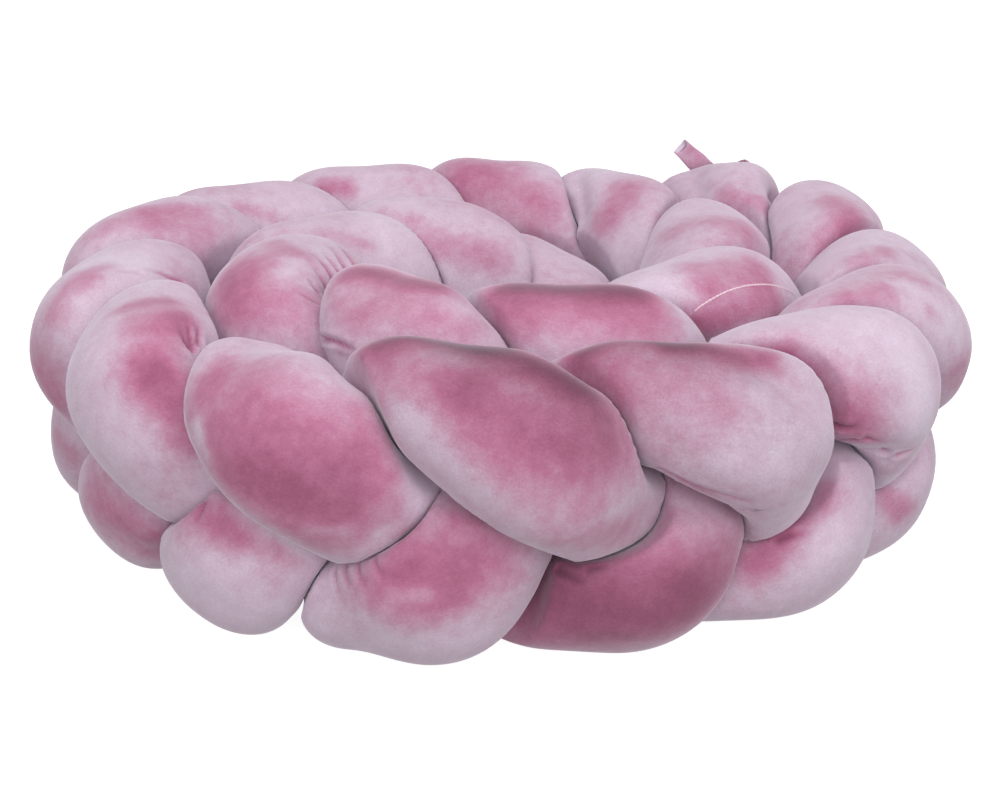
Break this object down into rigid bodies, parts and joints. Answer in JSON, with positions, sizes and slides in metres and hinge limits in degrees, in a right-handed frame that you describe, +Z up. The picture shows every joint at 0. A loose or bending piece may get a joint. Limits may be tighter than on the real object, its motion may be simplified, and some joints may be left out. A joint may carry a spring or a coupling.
{
  "type": "braided crib bumper",
  "caption": "Plaited crib bumper of stuffed plush tubes, standing on edge and coiled into a round stack of turns, with a cloth tie at its outer end.",
  "frame": {"origin": "on the floor under the middle of the coil's box", "axes": "+Z up, -Y towards the pictured front of the coil, +X to its right"},
  "size_m": [0.5035, 0.4755, 0.1612],
  "materials": {
    "plush": "dusty rose short-pile plush with a pale brushed nap",
    "tie_cloth": "the same plush, folded and sewn into a flat tape"
  },
  "bodies": {
    "root": {"strand_a": "plush", "strand_b": "plush", "strand_c": "plush", "tie": "tie_cloth"}
  },
  "joints": []
}
